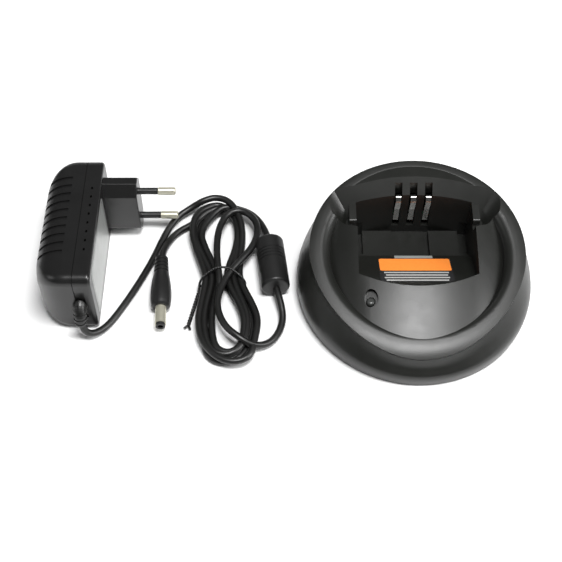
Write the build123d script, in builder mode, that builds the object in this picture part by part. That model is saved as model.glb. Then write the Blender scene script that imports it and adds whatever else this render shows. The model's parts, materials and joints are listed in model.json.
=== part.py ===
"""Desktop charging cradle for a two-way radio, with its plug-in mains adapter and DC lead.

Millimetres, +Z up.  The origin is on the table, at the bottom centre of the box that the
cradle and the adapter fill.  The cradle stands on the +X side with its pocket facing -Y, the
adapter lies on one long narrow side on the -X side, and the lead lies between them.
"""
from build123d import *
from math import asin, atan, cos, degrees, pi, radians, sin, tan
import os

os.makedirs("parts", exist_ok=True)

# ---------------------------------------------------------------- driving dimensions: cradle
CRADLE_X = 62.2              # centre of the round cradle
SKIRT_FOOT = 0.6             # the skirt's lower edge, just clear of the table
SKIRT_RX, SKIRT_RY = 58.3, 60.5
WALL = 2.3
RIM_TILT = 12.5              # degrees; the whole top face leans towards the user
RIM_R = 53.0
# the rim's radius at angles counted from the right-hand side: it draws in beside the front
RIM_RADII = (
    (-90, 53.2), (-73, 52.2), (-57, 50.7), (-40, 49.9), (-22, 50.5), (-2, 52.2), (20, 53.4),
    (45, 53.7), (70, 53.2), (90, 53.0),
)
RIM_CENTRE_Y, RIM_CENTRE_Z = -4.2, 28.57
RING_CREST = 1.6             # the rounded ring stands this far above the rim's plane
VALLEY_BACK = 3.0            # the ring's inner edge is a circle centred this far behind
TONGUE_CROWN = 6.5           # the tongue's crown above the rim's plane
TONGUE_CROSS_R = 125.0       # the crown's radius from side to side
TONGUE_SIDE_X, TONGUE_SIDE_R = 24.0, 45.0    # from here on its sides roll down more steeply
TONGUE_LONG_R = 348.0        # and from front to back
TONGUE_SWING = 12.0          # degrees of barrel each side of the crown
TONGUE_BACK = 15.0           # the crown lies this far behind the rim's centre

POCKET_HALF = 28.9           # half the width of the radio's pocket
POCKET_FRONT_Y = -22.5       # the tongue's rear edge at the middle
POCKET_FRONT_R = 55.0
POCKET_BACK_Y = 30.5         # the pocket's rear wall at the middle
POCKET_BACK_R = 130.0
SILL_Y, SILL_Z = 8.0, 14.0   # where the label ramp ends and the pocket drops away
RAMP_SLOPE = 0.39
SHOULDER_Z, WELL_Z = 9.0, 6.0
SHOULDER_IN, SHOULDER_OUT, SHOULDER_BACK_Y = 9.5, 24.5, 28.3
FLOOR_T = 2.2

CONTACT_PITCH = 7.5
SLOT_W, SLOT_LOW_Z, SLOT_BACK_Y = 3.7, 11.0, 34.9
CONTACT_W, CONTACT_T = 2.6, 0.4
CONTACT_ROOT_Y, CONTACT_FOOT_Z = 34.6, 6.0

# ---------------------------------------------------------------- driving dimensions: adapter
BACK_X, PARTING_X, FACE_X = -121.6, -102.0, -93.5
NEAR_Y, FAR_Y = -27.0, 51.0
ADAPTER_H = 39.0             # it lies on a long side, so this is its width in use
SHELL_T = 2.0
RIB_PITCH, RIB_COUNT = 5.2, 10
PLUG_Y, PLUG_Z = 38.1, 19.5
HEAD_LENGTH = 17.0
PIN_SPACING = 18.6           # two-pole plug, pins of 4 mm and 19 mm long
PIN_R, PIN_NECK_R, SLEEVE_R = 2.0, 1.5, 1.75
PIN_LENGTH, SLEEVE_LENGTH = 19.0, 10.0


# ---------------------------------------------------------------- helpers
def save(part, node):
    """Label a finished piece and write it under its node's name."""
    part.label = node
    export_step(part, f"parts/{node}.step")


def level(z, y=0.0):
    """A horizontal plane at height z, centred on the cradle."""
    return Plane(origin=(CRADLE_X, y, z))


def leaning(y, z, tilt):
    """A plane that leans towards the user by tilt degrees, on the cradle's middle line."""
    return Plane(
        origin=(CRADLE_X, y, z),
        x_dir=(1, 0, 0),
        z_dir=(0, -sin(radians(tilt)), cos(radians(tilt))),
    )


def across(x):
    """A plane facing +X at x: its own x runs along +Y and its own y along +Z."""
    return Plane(origin=(x, 0, 0), x_dir=(0, 1, 0), z_dir=(1, 0, 0))


def rearward(y, x=CRADLE_X, z=0.0):
    """A plane at y whose own x runs along -X and own y along +Z, so that it faces +Y."""
    return Plane(origin=(x, y, z), x_dir=(-1, 0, 0), z_dir=(0, 1, 0))


RIM = leaning(RIM_CENTRE_Y, RIM_CENTRE_Z, RIM_TILT)


# ---------------------------------------------------------------- cradle: outer form
def rim_outline():
    """The rim seen square on, as one closed curve."""
    right = [(RIM_RADII[i][1], RIM_RADII[i][0]) for i in range(len(RIM_RADII))]
    turns = right + [(r, 180 - a) for r, a in right[-2:0:-1]]
    with BuildLine() as outline:
        Spline(*[(r * cos(radians(a)), r * sin(radians(a))) for r, a in turns], periodic=True)
    return outline.edges()


VALLEY_ORIGIN = RIM.from_local_coords((0, VALLEY_BACK, 0))
VALLEY_PROFILE = Plane(origin=VALLEY_ORIGIN, x_dir=(1, 0, 0), z_dir=RIM.x_dir.cross(RIM.z_dir))
VALLEY_AXIS = Axis(VALLEY_ORIGIN, RIM.z_dir)
BASIN = -9.2

with BuildPart() as cradle_form:
    with BuildSketch(level(SKIRT_FOOT)):
        Ellipse(SKIRT_RX - 0.7, SKIRT_RY - 0.7)
    with BuildSketch(level(4.5)):
        Ellipse(SKIRT_RX, SKIRT_RY)
    with BuildSketch(leaning(-1.8, 16.5, 0.55 * RIM_TILT)):
        Ellipse(56.5, 57.6)
    with BuildSketch(RIM.offset(-1.2)):
        make_face(rim_outline())
    loft()
    with BuildSketch(RIM.offset(-1.2)):
        make_face(rim_outline())
    extrude(amount=RING_CREST + 1.5)
    # one turned cut rounds the ring's top and clears the basin inside it
    with BuildSketch(VALLEY_PROFILE):
        with BuildLine():
            shoulder = ThreePointArc((42.4, -3.0), (44.0, 0.45), (47.4, RING_CREST))
            crest = ThreePointArc(shoulder @ 1, (52.0, 1.15), (58.0, -0.9))
            Polyline(
                crest @ 1, (70, -0.9), (70, 15), (0, 15), (0, BASIN + 0.2), (41.2, BASIN + 0.2),
                shoulder @ 0,
            )
        make_face()
    revolve(axis=VALLEY_AXIS, mode=Mode.SUBTRACT)

# The tongue is the cap of a large barrel shape.  It meets the ring flush at the front, and its
# sides roll down below the ring and so leave the two crescent valleys.  Behind the pocket a
# plain dome takes over.
TONGUE_SEAM_Y = 25.0
TONGUE_R = 46.5
BARREL_AXIS = Axis(RIM.from_local_coords((0, TONGUE_BACK, TONGUE_CROWN - TONGUE_LONG_R)), RIM.x_dir)
BARREL_START = RIM.z_dir.rotate(Axis((0, 0, 0), RIM.x_dir), -TONGUE_SWING)
BARREL_HALF = 48.0
SIDE_LEAN = asin(TONGUE_SIDE_X / TONGUE_CROSS_R)
SIDE_Y = TONGUE_LONG_R - TONGUE_CROSS_R * (1 - cos(SIDE_LEAN))
SIDE_CENTRE_X = TONGUE_SIDE_X - TONGUE_SIDE_R * sin(SIDE_LEAN)
SIDE_END = asin((BARREL_HALF - SIDE_CENTRE_X) / TONGUE_SIDE_R)
BARREL_SIDE = SIDE_Y - TONGUE_SIDE_R * (cos(SIDE_LEAN) - cos(SIDE_END))

with BuildPart() as tongue:
    with BuildSketch(
        Plane(
            origin=BARREL_AXIS.position,
            x_dir=RIM.x_dir,
            z_dir=RIM.x_dir.cross(BARREL_START),
        )
    ):
        with BuildLine():
            arch = ThreePointArc(
                (-TONGUE_SIDE_X, SIDE_Y), (0, TONGUE_LONG_R), (TONGUE_SIDE_X, SIDE_Y)
            )
            right_side = TangentArc(arch @ 1, (BARREL_HALF, BARREL_SIDE), tangent=arch % 1)
            left_side = TangentArc(arch @ 0, (-BARREL_HALF, BARREL_SIDE), tangent=-(arch % 0))
            Polyline(
                right_side @ 1,
                (BARREL_HALF, BARREL_SIDE - 25),
                (-BARREL_HALF, BARREL_SIDE - 25),
                left_side @ 1,
            )
        make_face()
    revolve(axis=BARREL_AXIS, revolution_arc=2 * TONGUE_SWING)
    with BuildSketch(RIM.offset(BASIN)):
        with Locations((0, VALLEY_BACK)):
            Circle(TONGUE_R)
        with Locations((0, TONGUE_SEAM_Y + 50)):
            Rectangle(200, 100, mode=Mode.SUBTRACT)
    extrude(amount=20, mode=Mode.INTERSECT)

with BuildPart() as rear_dome:
    with BuildSketch(VALLEY_PROFILE):
        with BuildLine():
            dome = ThreePointArc((0, TONGUE_CROWN), (TONGUE_R / 2, 5.3), (TONGUE_R, RING_CREST - 0.02))
            Polyline(dome @ 1, (TONGUE_R, BASIN), (0, BASIN), (0, TONGUE_CROWN))
        make_face()
    revolve(axis=VALLEY_AXIS)
    with BuildSketch(RIM.offset(BASIN - 1)):
        with Locations((0, TONGUE_SEAM_Y - 50)):
            Rectangle(200, 100)
    extrude(amount=25, mode=Mode.SUBTRACT)


# ---------------------------------------------------------------- cradle: pocket voids


def pocket_outline(grow):
    """The radio's pocket in plan: curved front and rear walls and straight sides."""
    half = POCKET_HALF + grow
    front_y = POCKET_FRONT_Y - grow
    back_y = POCKET_BACK_Y + grow
    front_r = POCKET_FRONT_R + grow
    back_r = POCKET_BACK_R + grow
    front_side = front_y + front_r - (front_r**2 - half**2) ** 0.5
    back_side = back_y - back_r + (back_r**2 - half**2) ** 0.5
    with BuildLine() as outline:
        front = ThreePointArc((-half, front_side), (0, front_y), (half, front_side))
        right = Line(front @ 1, (half, back_side))
        back = ThreePointArc(right @ 1, (0, back_y), (-half, back_side))
        Line(back @ 1, front @ 0)
    return outline.edges()


def bowl_outline(rear_y, corner, side, front, mouth):
    """The D-shaped bowl behind the radio, from five points of its right half."""
    mirrored = [(-x, y) for x, y in (front, side, corner)]
    with BuildLine() as outline:
        right = ThreePointArc(front, side, corner)
        rear = ThreePointArc(right @ 1, (0, rear_y), mirrored[2])
        left = ThreePointArc(rear @ 1, mirrored[1], mirrored[0])
        Polyline(left @ 1, (-mouth[0], mouth[1]), mouth, front)
    return outline.edges()


BOWL_TOP_Z, BOWL_LOW_Z = 43.0, 27.0


def bowl_part(grow):
    """The bowl as a solid, grown by a wall's thickness where it stands for the wall."""
    with BuildPart() as bowl:
        with BuildSketch(level(BOWL_TOP_Z)):
            make_face(bowl_outline(
                39.7 + grow,
                corner=(44.0 + grow, 35.6 + grow),
                side=(48.6 + grow, 24.0),
                front=(37.0 + grow, 9.0 - grow),
                mouth=(29.0, 6.0 - grow),
            ))
        with BuildSketch(level(BOWL_LOW_Z - grow)):
            make_face(bowl_outline(
                22.6 + grow,
                corner=(32.2 + grow, 21.7 + grow),
                side=(34.0 + grow, 18.5),
                front=(32.5 + grow, 14.5 - grow),
                mouth=(28.0, 13.5 - grow),
            ))
        loft(ruled=True)
    return bowl.part


def ramp_profile(low):
    """Side view, in the plane facing +X, of the space over the ramp and the pocket's floor."""
    front_y, far_y, high_z = -45.0, 55.0, 70.0
    floor_z = WELL_Z - low
    steps = [(SILL_Y - low * 0.4, floor_z)]
    if low == 0:
        steps = [(SILL_Y, SHOULDER_Z), (SHOULDER_BACK_Y, SHOULDER_Z), (SHOULDER_BACK_Y, floor_z)]
    with BuildLine() as outline:
        Polyline(
            (front_y, SILL_Z - low + RAMP_SLOPE * (SILL_Y - front_y)),
            (SILL_Y - low * 0.4, SILL_Z - low),
            *steps,
            (far_y, floor_z),
            (far_y, high_z),
            (front_y, high_z),
            close=True,
        )
    return outline.edges()


def pocket_part(grow):
    """The pocket as a solid, with its ramp, sill and floor; grown, it stands for the walls."""
    with BuildPart() as pocket:
        with BuildSketch(level(0)):
            make_face(pocket_outline(grow))
        extrude(amount=60)
        with BuildSketch(across(CRADLE_X - 50)):
            make_face(ramp_profile(grow))
        extrude(amount=100, mode=Mode.INTERSECT)
    return pocket.part


with BuildPart() as well:
    # the middle of the floor and the two side channels lie lower than the shoulders
    with BuildSketch(level(WELL_Z)):
        with Locations((0, (SILL_Y + 1.5 + SHOULDER_BACK_Y) / 2)):
            Rectangle(2 * SHOULDER_IN, SHOULDER_BACK_Y - SILL_Y - 1.5)
        for side in (-1, 1):
            channel_w = POCKET_HALF - SHOULDER_OUT
            with Locations((side * (SHOULDER_OUT + channel_w / 2), 0.5 * (13.0 + SHOULDER_BACK_Y))):
                Rectangle(channel_w, SHOULDER_BACK_Y - 13.0)
    extrude(amount=10)

with BuildPart() as contact_slots:
    with BuildSketch(level(SLOT_LOW_Z)):
        for step in (-1, 0, 1):
            with Locations((step * CONTACT_PITCH, (27.0 + SLOT_BACK_Y) / 2)):
                Rectangle(SLOT_W, SLOT_BACK_Y - 27.0)
    extrude(amount=40)

# ---------------------------------------------------------------- cradle: inner space
with BuildPart() as cradle_hollow:
    with BuildSketch(level(-0.5)):
        Ellipse(SKIRT_RX - 0.7 - WALL, SKIRT_RY - 0.7 - WALL)
    with BuildSketch(level(4.5)):
        Ellipse(SKIRT_RX - WALL, SKIRT_RY - WALL)
    with BuildSketch(leaning(-1.8, 14.0, 0.55 * RIM_TILT)):
        Ellipse(56.2 - WALL, 57.6 - WALL)
    with BuildSketch(RIM.offset(-6.2)):
        Circle(RIM_R - 5.6)
    loft()

with BuildPart() as tongue_hollow:
    with BuildSketch(RIM.offset(BASIN)):
        Circle(33.0)
        with Locations((0, TONGUE_SEAM_Y + 42)):
            Rectangle(200, 100, mode=Mode.SUBTRACT)
    extrude(amount=7.4)

BOSSES = ((-38.0, -22.0), (38.0, -22.0), (-35.0, 34.0), (35.0, 34.0))
BOSS_R, BOSS_BORE_R, BOSS_FOOT_Z = 3.2, 1.1, 3.0

with BuildPart() as screw_bosses:
    with BuildSketch(level(BOSS_FOOT_Z)):
        with Locations(*BOSSES):
            Circle(BOSS_R)
    extrude(amount=30)

bowl = bowl_part(0.0)
pocket = pocket_part(0.0)

# ---------------------------------------------------------------- cradle: guide ribs and walls
RIB_IN, RIB_T, RIB_TOP_Z, RIB_TIP_Y = POCKET_HALF, 3.4, 31.0, 16.5
with BuildPart() as guide_ribs:
    with BuildSketch(across(CRADLE_X)):
        with BuildLine():
            Polyline(
                (RIB_TIP_Y + 2.0, WELL_Z),
                (RIB_TIP_Y, RIB_TOP_Z - 3.0),
                (RIB_TIP_Y, RIB_TOP_Z),
                (33.0, RIB_TOP_Z + 1.5),
                (33.0, WELL_Z),
                close=True,
            )
        make_face()
        fillet(vertices().filter_by(lambda v: v.Y > 20 and v.X < 25), 1.2)
    extrude(amount=RIB_IN + RIB_T, both=True)
    with BuildSketch(level(0)):
        Rectangle(2 * RIB_IN, 160)
    extrude(amount=60, mode=Mode.SUBTRACT)

# ---------------------------------------------------------------- cradle: top shell
LED_X, LED_Y, LED_Z = CRADLE_X - 23.5, -27.2, 25.9
LED_PLANE = Plane(origin=(LED_X, LED_Y, LED_Z), x_dir=(0.98, 0, 0.19), z_dir=(-0.18, -0.33, 0.93))
LED_RECESS, LENS_R = 3.0, 2.3
JACK_Z, JACK_HOLE_R = 10.2, 4.4

LED_BOSS_Z = 15.0
with BuildPart() as led_boss:
    with BuildSketch(Plane(origin=(LED_X, LED_Y, LED_BOSS_Z))):
        Circle(LENS_R + 2.2)
    extrude(amount=20)

with BuildPart() as cradle_space:
    add(cradle_hollow.part)
    add(tongue_hollow.part)
    add(bowl_part(WALL), mode=Mode.SUBTRACT)
    add(pocket_part(FLOOR_T), mode=Mode.SUBTRACT)
    add(screw_bosses.part, mode=Mode.SUBTRACT)
    add(led_boss.part, mode=Mode.SUBTRACT)

with BuildPart() as cradle_top_shell:
    add(cradle_form.part)
    add(tongue.part)
    add(rear_dome.part)
    add(cradle_space.part, mode=Mode.SUBTRACT)
    with BuildSketch(LED_PLANE.offset(-LED_RECESS)):
        Ellipse(3.4, 4.75)
    extrude(amount=6, mode=Mode.SUBTRACT)
    with BuildSketch(Plane(origin=(LED_X, LED_Y, LED_BOSS_Z - 1))):
        Circle(LENS_R)
    extrude(amount=14, mode=Mode.SUBTRACT)
    add(bowl, mode=Mode.SUBTRACT)
    add(pocket, mode=Mode.SUBTRACT)
    add(guide_ribs.part)
    add(well.part, mode=Mode.SUBTRACT)
    add(contact_slots.part, mode=Mode.SUBTRACT)
    with BuildSketch(rearward(52.0, z=JACK_Z)):
        Circle(JACK_HOLE_R)
    extrude(amount=12, mode=Mode.SUBTRACT)
    with BuildSketch(level(0)):
        with Locations(*BOSSES):
            Circle(BOSS_BORE_R)
    extrude(amount=13, mode=Mode.SUBTRACT)
save(cradle_top_shell.part, "cradle_top_shell")

# ---------------------------------------------------------------- cradle: base, feet, screws
COVER_LOW_Z, COVER_TOP_Z = 1.0, 3.0
FEET = ((-27.0, -43.0), (27.0, -43.0), (-27.0, 43.0), (27.0, 43.0))
FOOT_R, FOOT_TOP_Z = 5.0, 1.6
BOARD_POSTS = ((-28.0, -38.0), (28.0, -38.0), (-28.0, 0.0), (28.0, 0.0))
BOARD_Z, BOARD_T = 6.0, 1.6
SCREW_HEAD_R, SCREW_HEAD_Z = 2.6, 2.2

with BuildPart() as cradle_base_cover:
    with BuildSketch(level(COVER_LOW_Z)):
        Ellipse(SKIRT_RX - 0.9 - WALL, SKIRT_RY - 0.9 - WALL)
    extrude(amount=COVER_TOP_Z - COVER_LOW_Z)
    with BuildSketch(level(COVER_TOP_Z)):
        with Locations(*BOARD_POSTS):
            Circle(2.2)
    extrude(amount=BOARD_Z - COVER_TOP_Z)
    with BuildSketch(level(COVER_LOW_Z)):
        with Locations(*FEET):
            Circle(FOOT_R)
    extrude(amount=FOOT_TOP_Z - COVER_LOW_Z, mode=Mode.SUBTRACT)
    with BuildSketch(level(COVER_LOW_Z)):
        with Locations(*BOSSES):
            Circle(SCREW_HEAD_R + 0.2)
    extrude(amount=SCREW_HEAD_Z - COVER_LOW_Z, mode=Mode.SUBTRACT)
    with BuildSketch(level(COVER_LOW_Z)):
        with Locations(*BOSSES):
            Circle(BOSS_BORE_R + 0.2)
        with Locations(*BOARD_POSTS):
            Circle(0.8)
    extrude(amount=8, mode=Mode.SUBTRACT)
save(cradle_base_cover.part, "cradle_base_cover")

with BuildPart() as cradle_feet:
    with BuildSketch(level(0)):
        with Locations(*FEET):
            Circle(FOOT_R)
    extrude(amount=FOOT_TOP_Z)
    chamfer(cradle_feet.faces().sort_by(Axis.Z)[:4].edges(), 0.4)
save(cradle_feet.part, "cradle_feet")

with BuildPart() as base_screws:
    with BuildSketch(level(SCREW_HEAD_Z)):
        with Locations(*BOSSES):
            Circle(BOSS_BORE_R)
    extrude(amount=9)
    with BuildSketch(level(COVER_LOW_Z + 0.1)):
        with Locations(*BOSSES):
            Circle(SCREW_HEAD_R)
    extrude(amount=SCREW_HEAD_Z - COVER_LOW_Z - 0.1)
    with BuildSketch(level(COVER_LOW_Z + 0.1)):
        with Locations(*BOSSES):
            Rectangle(3.2, 0.6)
            Rectangle(0.6, 3.2)
    extrude(amount=0.6, mode=Mode.SUBTRACT)
save(base_screws.part, "base_screws")

# ---------------------------------------------------------------- cradle: spring contacts
CONTACT_PATH = (
    (CONTACT_ROOT_Y, CONTACT_FOOT_Z),
    (CONTACT_ROOT_Y, 12.2),
    (31.4, 14.4),
    (30.2, 24.0),
    (28.3, 31.6),
    (30.0, 34.0),
    (32.2, 32.8),
    (32.6, 29.6),
)
for side, place in ((-1, "left"), (0, "middle"), (1, "right")):
    with BuildPart() as contact:
        with BuildSketch(across(CRADLE_X + side * CONTACT_PITCH)):
            with BuildLine():
                FilletPolyline(*CONTACT_PATH, radius=1.0)
            trace(line_width=CONTACT_T)
        extrude(amount=CONTACT_W / 2, both=True)
    save(contact.part, f"contact_{place}")

CARRIER_FRONT_Y, CARRIER_BACK_Y, CARRIER_Z, CARRIER_TOP_Z = 33.0, 37.6, 4.7, 11.6
with BuildPart() as contact_carrier:
    with BuildSketch(level(CARRIER_Z, (CARRIER_FRONT_Y + CARRIER_BACK_Y) / 2)):
        Rectangle(26, CARRIER_BACK_Y - CARRIER_FRONT_Y)
    extrude(amount=CARRIER_TOP_Z - CARRIER_Z)
    with BuildSketch(level(CONTACT_FOOT_Z - 0.6, CONTACT_ROOT_Y + 0.1)):
        with Locations(*[(step * CONTACT_PITCH, 0) for step in (-1, 0, 1)]):
            Rectangle(CONTACT_W + 0.5, 2.2)
    extrude(amount=20, mode=Mode.SUBTRACT)
save(contact_carrier.part, "contact_carrier")

# ---------------------------------------------------------------- cradle: light and labels
with BuildPart() as led_lens:
    with BuildSketch(Plane(origin=(LED_X, LED_Y, 13.6))):
        Circle(LENS_R - 0.1)
    extrude(amount=LED_Z - 13.6 - 1.8)
    fillet(led_lens.faces().sort_by(Axis.Z)[-1].edges(), 1.4)
save(led_lens.part, "led_lens")

with BuildPart() as status_led:
    with BuildSketch(Plane(origin=(LED_X, LED_Y, BOARD_Z + BOARD_T))):
        Circle(1.9)
    extrude(amount=1.6)
    with BuildSketch(Plane(origin=(LED_X, LED_Y, BOARD_Z + BOARD_T + 1.6))):
        Circle(1.5)
    extrude(amount=4.0)
    fillet(status_led.faces().sort_by(Axis.Z)[-1].edges(), 1.2)
save(status_led.part, "status_led")

RAMP_ANGLE = degrees(atan(RAMP_SLOPE))
LABEL_T = 0.12
RAMP = Plane(
    origin=(CRADLE_X, SILL_Y, SILL_Z),
    x_dir=(1, 0, 0),
    z_dir=(0, sin(radians(RAMP_ANGLE)), cos(radians(RAMP_ANGLE))),
)
with BuildPart() as pocket_label:
    with BuildSketch(RAMP):
        with Locations((0, -14.0)):
            RectangleRounded(36, 22, 2.5)
    extrude(amount=LABEL_T)
save(pocket_label.part, "pocket_label")

with BuildPart() as pocket_strip:
    with BuildSketch(RAMP):
        with Locations((0, -1.5)):
            Rectangle(19, 2.4)
    extrude(amount=LABEL_T)
save(pocket_strip.part, "pocket_strip")

# ---------------------------------------------------------------- cradle: boards and their parts
with BuildPart() as charger_board:
    with BuildSketch(level(BOARD_Z, -19.0)):
        RectangleRounded(64, 46, 2)
        with Locations(*[(x, y + 19.0) for x, y in BOARD_POSTS]):
            Circle(1.0, mode=Mode.SUBTRACT)
    extrude(amount=BOARD_T)
save(charger_board.part, "charger_board")

with BuildPart() as board_screws:
    with BuildSketch(level(BOARD_Z + BOARD_T)):
        with Locations(*BOARD_POSTS):
            Circle(1.9)
    extrude(amount=1.2)
    with BuildSketch(level(3.6)):
        with Locations(*BOARD_POSTS):
            Circle(0.8)
    extrude(amount=BOARD_Z + BOARD_T - 3.6)
save(board_screws.part, "board_screws")


def board_block(node, x, y, size, low_z, edge=0.5):
    """A moulded component standing on a board of the cradle."""
    with BuildPart() as block:
        with BuildSketch(level(low_z, y).shift_origin((CRADLE_X + x, y, low_z))):
            RectangleRounded(size[0], size[1], edge)
        extrude(amount=size[2])
        chamfer(block.faces().sort_by(Axis.Z)[-1].edges(), min(edge, 0.4))
    save(block.part, node)


BOARD_TOP = BOARD_Z + BOARD_T
board_block("charge_controller", 10, -8, (10, 6, 1.8), BOARD_TOP)
board_block("power_inductor", -11, -14, (10, 10, 4.6), BOARD_TOP, edge=2.0)
board_block("power_diode", 21, -20, (5, 4, 2.2), BOARD_TOP)

with BuildPart() as filter_capacitor:
    with BuildSketch(level(BOARD_TOP, -28.0)):
        with Locations((8, 0)):
            Circle(4.0)
    extrude(amount=8.5)
    fillet(filter_capacitor.faces().sort_by(Axis.Z)[-1].edges(), 0.6)
save(filter_capacitor.part, "filter_capacitor")

JACK_BOARD_Z = 3.1
with BuildPart() as jack_board:
    with BuildSketch(level(JACK_BOARD_Z, 44.0)):
        Rectangle(34, 22)
    extrude(amount=BOARD_T)
save(jack_board.part, "jack_board")

JACK_FRONT_Y, JACK_DEPTH, JACK_BORE_R = 53.0, 14.0, 3.2
JACK_COLLAR = 4.2
JACK_LOW_Z = JACK_BOARD_Z + BOARD_T
with BuildPart() as dc_jack_housing:
    with BuildSketch(rearward(JACK_FRONT_Y - JACK_DEPTH, z=JACK_LOW_Z)):
        with Locations((0, 5.5)):
            Rectangle(9.4, 11)
    extrude(amount=JACK_DEPTH)
    with BuildSketch(rearward(JACK_FRONT_Y, z=JACK_Z)):
        Circle(JACK_HOLE_R - 0.3)
    extrude(amount=JACK_COLLAR)
    with BuildSketch(rearward(JACK_FRONT_Y + JACK_COLLAR - 10.0, z=JACK_Z)):
        Circle(JACK_BORE_R)
    extrude(amount=12, mode=Mode.SUBTRACT)
    with BuildSketch(rearward(JACK_FRONT_Y - JACK_DEPTH, z=JACK_Z)):
        Circle(1.05)
    extrude(amount=12, mode=Mode.SUBTRACT)
save(dc_jack_housing.part, "dc_jack_housing")

with BuildPart() as dc_jack_pin:
    with BuildSketch(rearward(JACK_FRONT_Y - JACK_DEPTH, z=JACK_Z)):
        Circle(1.05)
    extrude(amount=JACK_DEPTH + JACK_COLLAR - 1.2)
    fillet(dc_jack_pin.faces().sort_by(Axis.Y)[-1].edges(), 0.5)
save(dc_jack_pin.part, "dc_jack_pin")

for node, x, y, size, low in (
    ("jack_board_plug", -13.5, 43.0, (5.0, 7.0, 5.0), JACK_LOW_Z),
    ("charger_board_plug", -29.0, -14.0, (5.0, 7.0, 5.0), BOARD_TOP),
):
    board_block(node, x, y, size, low)

WIRE_R = 0.6
with BuildPart() as inner_wires:
    for row in (-1, 0, 1):
        wire_z = 7.4 + 1.6 * row
        with BuildLine() as wire_path:
            FilletPolyline(
                (CRADLE_X - 16.0, 43.0 + 1.6 * row, wire_z),
                (CRADLE_X - 29.0, 43.5 + 1.6 * row, wire_z),
                (CRADLE_X - 42.0, 34.5, wire_z),
                (CRADLE_X - 44.5, 12.0, wire_z),
                (CRADLE_X - 43.5, -11.0, wire_z),
                (CRADLE_X - 37.0, -14.0 + 1.6 * row, 10.2),
                (CRADLE_X - 31.5, -14.0 + 1.6 * row, 10.2),
                radius=2.0,
            )
        with BuildSketch(Plane(origin=wire_path.line @ 0, z_dir=wire_path.line % 0)):
            Circle(WIRE_R)
        sweep(path=wire_path.line)
save(inner_wires.part, "inner_wires")

# ---------------------------------------------------------------- adapter: shells
SIDE_EDGE_R, FACE_EDGE_R = 4.5, 1.6
ROUND_X, ROUND_Z, ROUND_NEAR, ROUND_FAR = 15.0, 10.0, 14.5, 13.0
ROUND_STEPS = (0, 22, 42, 60, 75, 86)
MID_Y, LENGTH_Y = (NEAR_Y + FAR_Y) / 2, FAR_Y - NEAR_Y


def adapter_block(low_x, high_x, inset):
    """A slice of the adapter's body between two planes, with rounded long edges."""
    with BuildPart() as block:
        with BuildSketch(across(low_x)):
            with Locations((MID_Y, ADAPTER_H / 2)):
                RectangleRounded(
                    LENGTH_Y - 2 * inset, ADAPTER_H - 2 * inset, SIDE_EDGE_R - 0.6 * inset
                )
        extrude(amount=high_x - low_x)
    return block.part


def adapter_pillow(inset):
    """The back half of the adapter's body: its edges round off widest at the far end."""
    start = BACK_X + ROUND_X
    with BuildPart() as pillow:
        for x, turn in [(PARTING_X, 0), (PARTING_X - 2.0, 0)] + [
            (start - (ROUND_X - inset) * sin(radians(step)), step) for step in ROUND_STEPS
        ]:
            draw_in = 1 - cos(radians(turn))
            near = inset + (ROUND_NEAR - inset) * draw_in
            far = inset + (ROUND_FAR - inset) * draw_in
            side = inset + (ROUND_Z - inset) * draw_in
            with BuildSketch(across(x)):
                with Locations((MID_Y + (near - far) / 2, ADAPTER_H / 2)):
                    RectangleRounded(
                        LENGTH_Y - near - far,
                        ADAPTER_H - 2 * side,
                        SIDE_EDGE_R - 0.6 * inset + 3.5 * draw_in,
                    )
        loft()
    return pillow.part


RIB_START_Y, RIB_GROOVE_W, RIB_GROOVE_D, RIB_END_X = -9.0, 1.9, 0.7, -108.0
with BuildPart() as rib_grooves:
    with BuildSketch(Plane.XY):
        for rib in range(RIB_COUNT):
            with Locations(((BACK_X - 4 + RIB_END_X) / 2, RIB_START_Y + rib * RIB_PITCH)):
                Rectangle(RIB_END_X - BACK_X + 4, RIB_GROOVE_W)
    extrude(amount=ADAPTER_H)
    add(adapter_pillow(RIB_GROOVE_D), mode=Mode.SUBTRACT)

with BuildPart() as adapter_back_shell:
    add(adapter_pillow(0))
    add(adapter_pillow(SHELL_T), mode=Mode.SUBTRACT)
    add(rib_grooves.part, mode=Mode.SUBTRACT)
save(adapter_back_shell.part, "adapter_back_shell")

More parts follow.
